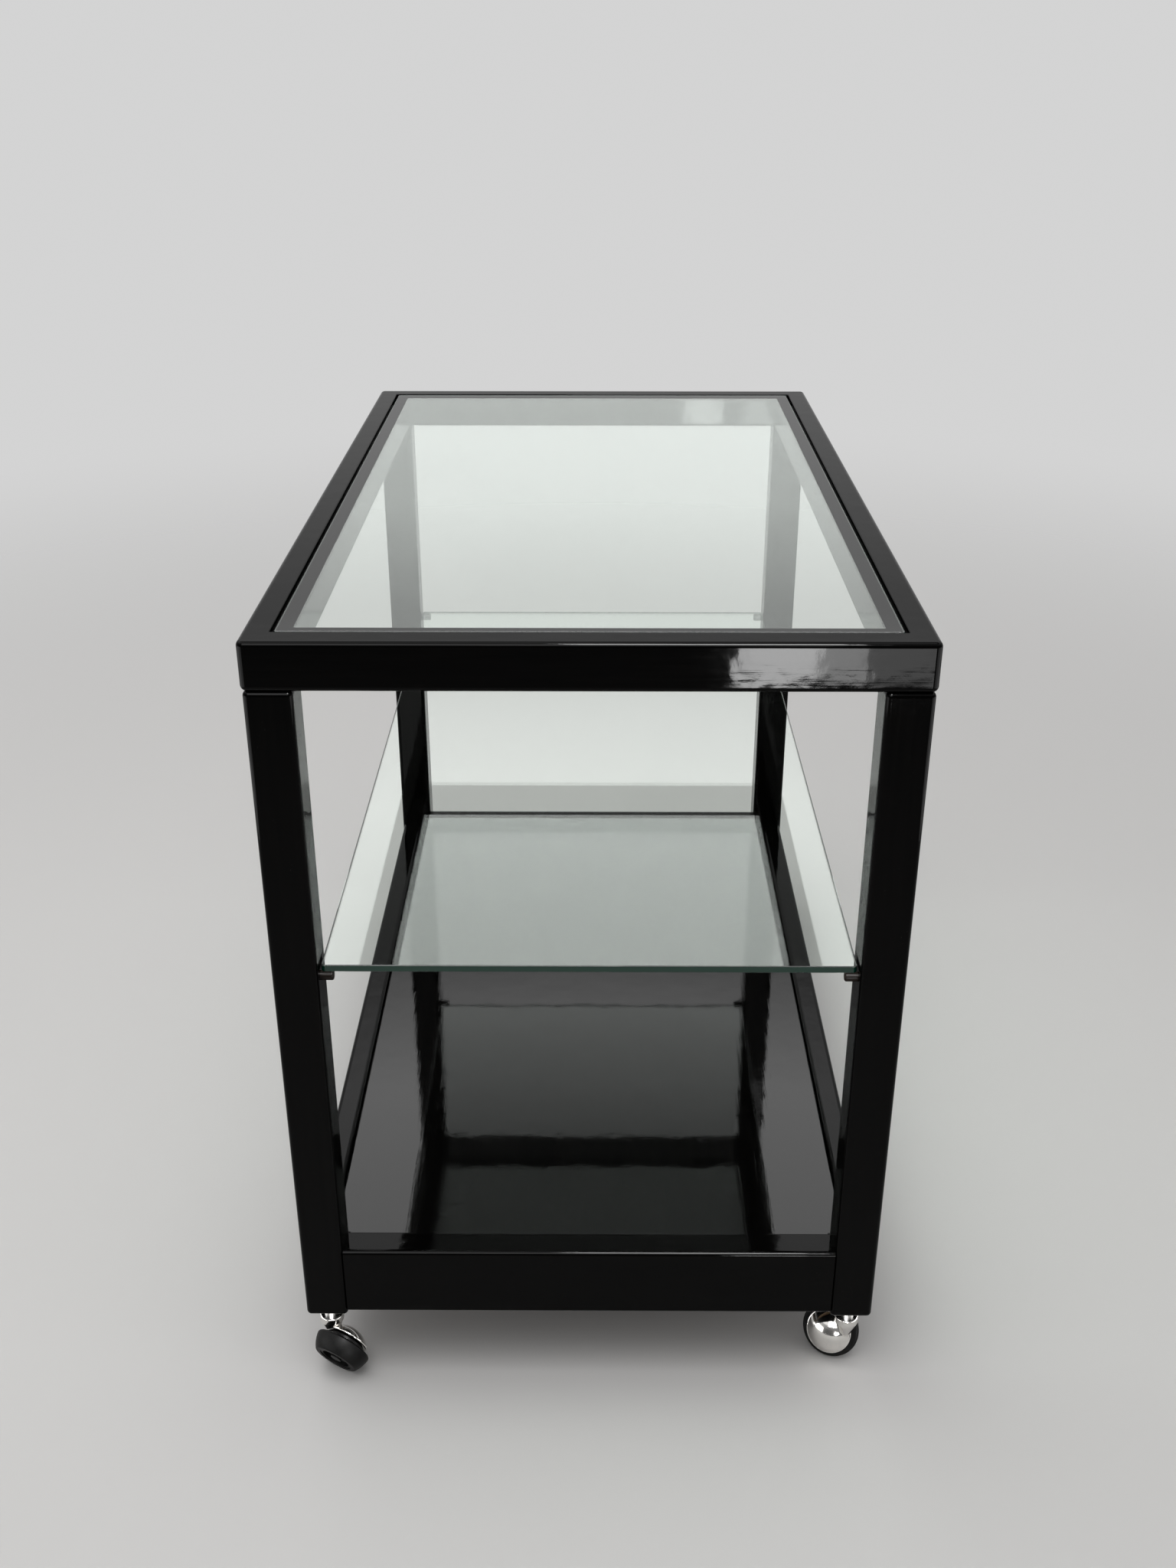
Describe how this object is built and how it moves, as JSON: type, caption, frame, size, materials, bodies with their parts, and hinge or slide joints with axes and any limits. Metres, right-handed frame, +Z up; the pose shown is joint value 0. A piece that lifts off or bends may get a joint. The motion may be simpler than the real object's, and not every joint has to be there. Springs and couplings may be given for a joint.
{
  "type": "serving trolley",
  "caption": "Low two-tier serving trolley: mitred black frame with inset glass top, glass shelf on pins, shallow base tray and chrome ball casters.",
  "frame": {"origin": "on the floor under the middle of the trolley", "axes": "+X to the right, -Y to the short side seen in front, +Z up"},
  "size_m": [0.48, 0.83, 0.673],
  "materials": {
    "lacquered_wood": "black high-gloss lacquer",
    "bare_wood": "unfinished",
    "clear_glass": "clear float glass, polished edges",
    "screw_steel": "zinc plated",
    "pin_brown": "satin",
    "caster_steel": "zinc plated",
    "caster_chrome": "polished",
    "hub_black": "moulded",
    "tyre_black": "satin"
  },
  "bodies": {
    "frame": {"top_rail_front": "lacquered_wood", "top_rail_right": "lacquered_wood", "top_rail_back": "lacquered_wood", "top_rail_left": "lacquered_wood", "leg_front_left": "lacquered_wood", "leg_front_right": "lacquered_wood", "leg_back_left": "lacquered_wood", "leg_back_right": "lacquered_wood", "lower_rail_front": "lacquered_wood", "lower_rail_right": "lacquered_wood", "lower_rail_back": "lacquered_wood", "lower_rail_left": "lacquered_wood", "base_panel": "lacquered_wood", "mitre_tongues": "bare_wood", "leg_dowels": "bare_wood", "rail_dowels": "bare_wood", "cleat_front": "bare_wood", "cleat_right": "bare_wood", "cleat_back": "bare_wood", "cleat_left": "bare_wood", "top_glass": "clear_glass", "shelf_glass": "clear_glass", "cleat_screws": "screw_steel", "panel_screws": "screw_steel", "shelf_pins": "pin_brown", "caster_sleeve_front_left": "caster_steel", "caster_sleeve_front_right": "caster_steel", "caster_sleeve_back_left": "caster_steel", "caster_sleeve_back_right": "caster_steel"},
    "swivel_front_left": {"caster_stem_front_left": "caster_steel", "caster_grip_ring_front_left": "caster_steel", "caster_hood_front_left": "caster_chrome", "caster_axle_front_left": "caster_steel"},
    "wheel_front_left": {"wheel_hub_front_left": "hub_black", "tyre_front_left": "tyre_black"},
    "swivel_front_right": {"caster_stem_front_right": "caster_steel", "caster_grip_ring_front_right": "caster_steel", "caster_hood_front_right": "caster_chrome", "caster_axle_front_right": "caster_steel"},
    "wheel_front_right": {"wheel_hub_front_right": "hub_black", "tyre_front_right": "tyre_black"},
    "swivel_back_left": {"caster_stem_back_left": "caster_steel", "caster_grip_ring_back_left": "caster_steel", "caster_hood_back_left": "caster_chrome", "caster_axle_back_left": "caster_steel"},
    "wheel_back_left": {"wheel_hub_back_left": "hub_black", "tyre_back_left": "tyre_black"},
    "swivel_back_right": {"caster_stem_back_right": "caster_steel", "caster_grip_ring_back_right": "caster_steel", "caster_hood_back_right": "caster_chrome", "caster_axle_back_right": "caster_steel"},
    "wheel_back_right": {"wheel_hub_back_right": "hub_black", "tyre_back_right": "tyre_black"}
  },
  "joints": [
    {"name": "swivel_turn_front_left", "type": "hinge", "parent": "frame", "child": "swivel_front_left", "pos_m": [-0.2215, -0.3815, 0.06], "axis": [0, 0, 1], "continuous": true},
    {"name": "wheel_roll_front_left", "type": "hinge", "parent": "swivel_front_left", "child": "wheel_front_left", "pos_m": [-0.21064, -0.3909, 0.025], "axis": [0.4289, 0.8066, 0.4067], "continuous": true},
    {"name": "swivel_turn_front_right", "type": "hinge", "parent": "frame", "child": "swivel_front_right", "pos_m": [0.2215, -0.3815, 0.06], "axis": [0, 0, 1], "continuous": true},
    {"name": "wheel_roll_front_right", "type": "hinge", "parent": "swivel_front_right", "child": "wheel_front_right", "pos_m": [0.21016, -0.37268, 0.025], "axis": [-0.3861, -0.828, 0.4067], "continuous": true},
    {"name": "swivel_turn_back_left", "type": "hinge", "parent": "frame", "child": "swivel_back_left", "pos_m": [-0.2215, 0.3815, 0.06], "axis": [0, 0, 1], "continuous": true},
    {"name": "wheel_roll_back_left", "type": "hinge", "parent": "swivel_back_left", "child": "wheel_back_left", "pos_m": [-0.21016, 0.37268, 0.025], "axis": [0.3861, 0.828, 0.4067], "continuous": true},
    {"name": "swivel_turn_back_right", "type": "hinge", "parent": "frame", "child": "swivel_back_right", "pos_m": [0.2215, 0.3815, 0.06], "axis": [0, 0, 1], "continuous": true},
    {"name": "wheel_roll_back_right", "type": "hinge", "parent": "swivel_back_right", "child": "wheel_back_right", "pos_m": [0.21064, 0.3909, 0.025], "axis": [-0.4289, -0.8066, 0.4067], "continuous": true}
  ]
}
